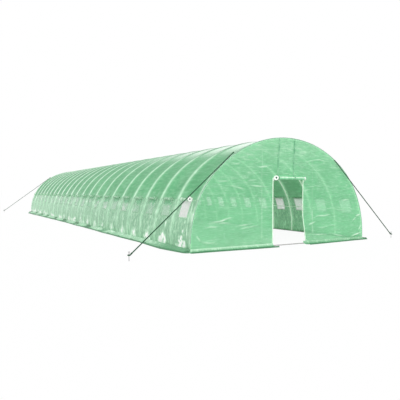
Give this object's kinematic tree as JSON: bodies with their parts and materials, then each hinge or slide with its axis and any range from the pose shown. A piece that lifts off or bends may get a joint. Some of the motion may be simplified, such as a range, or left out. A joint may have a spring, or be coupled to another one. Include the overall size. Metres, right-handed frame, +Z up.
{
  "type": "polytunnel greenhouse",
  "caption": "Long arched polytunnel greenhouse of tube hoops under a green film cover, with mesh windows along both sides, a rolled-up door in each end, ground skirts and guy ropes.",
  "frame": {"origin": "ground level, in the middle of the plan", "axes": "+Y along the tunnel from the front end to the rear end, +Z up, +X to the right of someone who faces the front end from outside"},
  "size_m": [9.3646, 22.8646, 2.85],
  "materials": {
    "cover_film": "translucent green woven film, satin",
    "side_film": "translucent pale green woven film, crinkled",
    "window_net": "fine white insect net",
    "zip_tape": "cream woven tape with a coil zip",
    "door_strap": "dark green woven tape",
    "frame_tube": "galvanised steel tube, matt",
    "guy_rope": "dark green braided rope",
    "peg_steel": "galvanised steel bar"
  },
  "bodies": {
    "root": {"base_rails_end": "frame_tube", "base_rails_side": "frame_tube", "door_straps": "door_strap", "door_zips": "zip_tape", "end_posts": "frame_tube", "front_door_roll": "cover_film", "front_skirt": "side_film", "front_wall_left": "cover_film", "front_wall_over_door": "cover_film", "front_wall_right": "cover_film", "ground_pegs": "peg_steel", "guy_ropes": "guy_rope", "hoops_crown_left": "frame_tube", "hoops_crown_right": "frame_tube", "hoops_haunch_left": "frame_tube", "hoops_haunch_right": "frame_tube", "hoops_lower_left": "frame_tube", "hoops_lower_right": "frame_tube", "hoops_shoulder_left": "frame_tube", "hoops_shoulder_right": "frame_tube", "rear_door_roll": "cover_film", "rear_skirt": "side_film", "rear_wall_left": "cover_film", "rear_wall_over_door": "cover_film", "rear_wall_right": "cover_film", "ridge_purlin": "frame_tube", "roof_crown_left": "cover_film", "roof_crown_right": "cover_film", "roof_haunch_left": "cover_film", "roof_haunch_right": "cover_film", "roof_shoulder_left": "cover_film", "roof_shoulder_right": "cover_film", "side_purlin_left": "frame_tube", "side_purlin_right": "frame_tube", "side_sheet_left": "side_film", "side_sheet_right": "side_film", "skirt_left": "side_film", "skirt_right": "side_film", "window_meshes_left": "window_net", "window_meshes_right": "window_net", "window_rolls_left": "side_film", "window_rolls_right": "side_film"}
  },
  "joints": []
}
